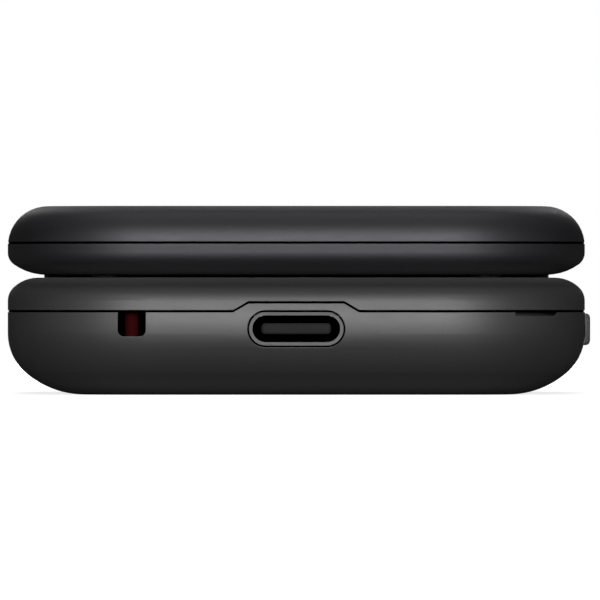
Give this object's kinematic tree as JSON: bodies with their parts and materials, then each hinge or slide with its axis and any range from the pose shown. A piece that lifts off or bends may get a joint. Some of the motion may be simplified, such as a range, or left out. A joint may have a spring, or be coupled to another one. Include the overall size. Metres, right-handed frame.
{
  "type": "flip phone",
  "caption": "Clamshell mobile phone lying closed on its back, with a keypad base, a hinged screen lid, a charging socket and a strap post at the chin.",
  "frame": {"origin": "middle of the flat face that the closed phone rests on", "axes": "+X to the side with the volume key, +Y from the chin to the hinge, +Z from the back cover up to the lid"},
  "size_m": [0.0555, 0.106, 0.018],
  "materials": {
    "housing_black": "fine matte texture, near black",
    "lid_black": "fine matte texture, near black",
    "inner_plastic": "moulded, plain",
    "key_black": "satin keycaps with pale printed legends",
    "nav_gloss": "satin dark grey",
    "side_key_grey": "satin mid grey",
    "post_red": "dark red",
    "port_steel": "satin nickel plate",
    "fastener_steel": "machined",
    "tinned_steel": "tinned sheet",
    "gold_contact": "gold plate",
    "board_green": "solder mask",
    "battery_wrap": "printed film wrap, bare",
    "unit_black": "moulded",
    "mesh_cloth": "fine acoustic mesh",
    "mat_silicone": "translucent silicone",
    "dome_film": "film over metal domes",
    "bumper_rubber": "soft",
    "window_glass": "black backed, clear over the screen",
    "display_panel": "screen switched off",
    "camera_trim": "turned and anodised",
    "lens_glass": "clear flat glass over the camera",
    "flash_lens": "phosphor behind a clear lens",
    "flex_amber": "polyimide film"
  },
  "bodies": {
    "base": {"front_housing": "housing_black", "chassis": "inner_plastic", "back_cover": "housing_black", "battery": "battery_wrap", "battery_contacts": "gold_contact", "main_board": "board_green", "shield_cans": "tinned_steel", "card_sockets": "tinned_steel", "usb_shell": "port_steel", "usb_tongue": "inner_plastic", "loudspeaker": "unit_black", "speaker_mesh": "mesh_cloth", "microphone": "tinned_steel", "dome_sheet": "dome_film", "key_mat": "mat_silicone", "side_switches": "tinned_steel", "strap_post": "post_red", "base_screws": "fastener_steel", "antenna": "gold_contact", "hinge_cam": "fastener_steel", "hinge_pin": "fastener_steel", "hinge_flex": "flex_amber"},
    "lid": {"lid_frame": "lid_black", "lid_cover": "lid_black", "cover_window": "window_glass", "outer_display": "display_panel", "camera_module": "unit_black", "camera_ring": "camera_trim", "camera_glass": "lens_glass", "flash_led": "flash_lens", "main_window": "window_glass", "main_display": "display_panel", "earpiece": "unit_black", "earpiece_mesh": "mesh_cloth", "lid_board": "board_green", "lid_screws": "fastener_steel", "lid_bumpers": "bumper_rubber", "vibration_motor": "tinned_steel", "lid_magnet": "tinned_steel", "hinge_cartridge": "fastener_steel"},
    "nav_ring": {"nav_ring": "nav_gloss"},
    "volume_key": {"volume_key": "side_key_grey"},
    "ok_key": {"ok_key": "nav_gloss"},
    "soft_key_left": {"soft_key_left": "key_black"},
    "soft_key_right": {"soft_key_right": "key_black"},
    "call_key": {"call_key": "key_black"},
    "end_key": {"end_key": "key_black"},
    "clear_key": {"clear_key": "key_black"},
    "key_1": {"key_1": "key_black"},
    "key_2": {"key_2": "key_black"},
    "key_3": {"key_3": "key_black"},
    "key_4": {"key_4": "key_black"},
    "key_5": {"key_5": "key_black"},
    "key_6": {"key_6": "key_black"},
    "key_7": {"key_7": "key_black"},
    "key_8": {"key_8": "key_black"},
    "key_9": {"key_9": "key_black"},
    "key_star": {"key_star": "key_black"},
    "key_0": {"key_0": "key_black"},
    "key_hash": {"key_hash": "key_black"}
  },
  "joints": [
    {"name": "lid_hinge", "type": "hinge", "parent": "base", "child": "lid", "pos_m": [0, 0.0482, 0.0126], "axis": [-1, 0, 0], "range_deg": [0, 160]},
    {"name": "ok_key_press", "type": "slide", "parent": "base", "child": "ok_key", "axis": [0, 0, -1], "range_m": [0, 0.00025], "stiffness_N_per_m": 2000},
    {"name": "soft_key_left_press", "type": "slide", "parent": "base", "child": "soft_key_left", "axis": [0, 0, -1], "range_m": [0, 0.00025], "stiffness_N_per_m": 2000},
    {"name": "soft_key_right_press", "type": "slide", "parent": "base", "child": "soft_key_right", "axis": [0, 0, -1], "range_m": [0, 0.00025], "stiffness_N_per_m": 2000},
    {"name": "call_key_press", "type": "slide", "parent": "base", "child": "call_key", "axis": [0, 0, -1], "range_m": [0, 0.00025], "stiffness_N_per_m": 2000},
    {"name": "end_key_press", "type": "slide", "parent": "base", "child": "end_key", "axis": [0, 0, -1], "range_m": [0, 0.00025], "stiffness_N_per_m": 2000},
    {"name": "clear_key_press", "type": "slide", "parent": "base", "child": "clear_key", "axis": [0, 0, -1], "range_m": [0, 0.00025], "stiffness_N_per_m": 2000},
    {"name": "key_1_press", "type": "slide", "parent": "base", "child": "key_1", "axis": [0, 0, -1], "range_m": [0, 0.00025], "stiffness_N_per_m": 2000},
    {"name": "key_2_press", "type": "slide", "parent": "base", "child": "key_2", "axis": [0, 0, -1], "range_m": [0, 0.00025], "stiffness_N_per_m": 2000},
    {"name": "key_3_press", "type": "slide", "parent": "base", "child": "key_3", "axis": [0, 0, -1], "range_m": [0, 0.00025], "stiffness_N_per_m": 2000},
    {"name": "key_4_press", "type": "slide", "parent": "base", "child": "key_4", "axis": [0, 0, -1], "range_m": [0, 0.00025], "stiffness_N_per_m": 2000},
    {"name": "key_5_press", "type": "slide", "parent": "base", "child": "key_5", "axis": [0, 0, -1], "range_m": [0, 0.00025], "stiffness_N_per_m": 2000},
    {"name": "key_6_press", "type": "slide", "parent": "base", "child": "key_6", "axis": [0, 0, -1], "range_m": [0, 0.00025], "stiffness_N_per_m": 2000},
    {"name": "key_7_press", "type": "slide", "parent": "base", "child": "key_7", "axis": [0, 0, -1], "range_m": [0, 0.00025], "stiffness_N_per_m": 2000},
    {"name": "key_8_press", "type": "slide", "parent": "base", "child": "key_8", "axis": [0, 0, -1], "range_m": [0, 0.00025], "stiffness_N_per_m": 2000},
    {"name": "key_9_press", "type": "slide", "parent": "base", "child": "key_9", "axis": [0, 0, -1], "range_m": [0, 0.00025], "stiffness_N_per_m": 2000},
    {"name": "key_star_press", "type": "slide", "parent": "base", "child": "key_star", "axis": [0, 0, -1], "range_m": [0, 0.00025], "stiffness_N_per_m": 2000},
    {"name": "key_0_press", "type": "slide", "parent": "base", "child": "key_0", "axis": [0, 0, -1], "range_m": [0, 0.00025], "stiffness_N_per_m": 2000},
    {"name": "key_hash_press", "type": "slide", "parent": "base", "child": "key_hash", "axis": [0, 0, -1], "range_m": [0, 0.00025], "stiffness_N_per_m": 2000},
    {"name": "nav_tilt", "type": "hinge", "parent": "base", "child": "nav_ring", "pos_m": [0, 0.0187, 0.0102], "axis": [1, 0, 0], "range_deg": [-1.2, 1.2], "stiffness_Nm_per_rad": 0.5},
    {"name": "volume_rock", "type": "hinge", "parent": "base", "child": "volume_key", "pos_m": [0.02585, 0.012, 0.0062], "axis": [0, 0, 1], "range_deg": [-1.2, 1.2], "stiffness_Nm_per_rad": 0.5}
  ]
}
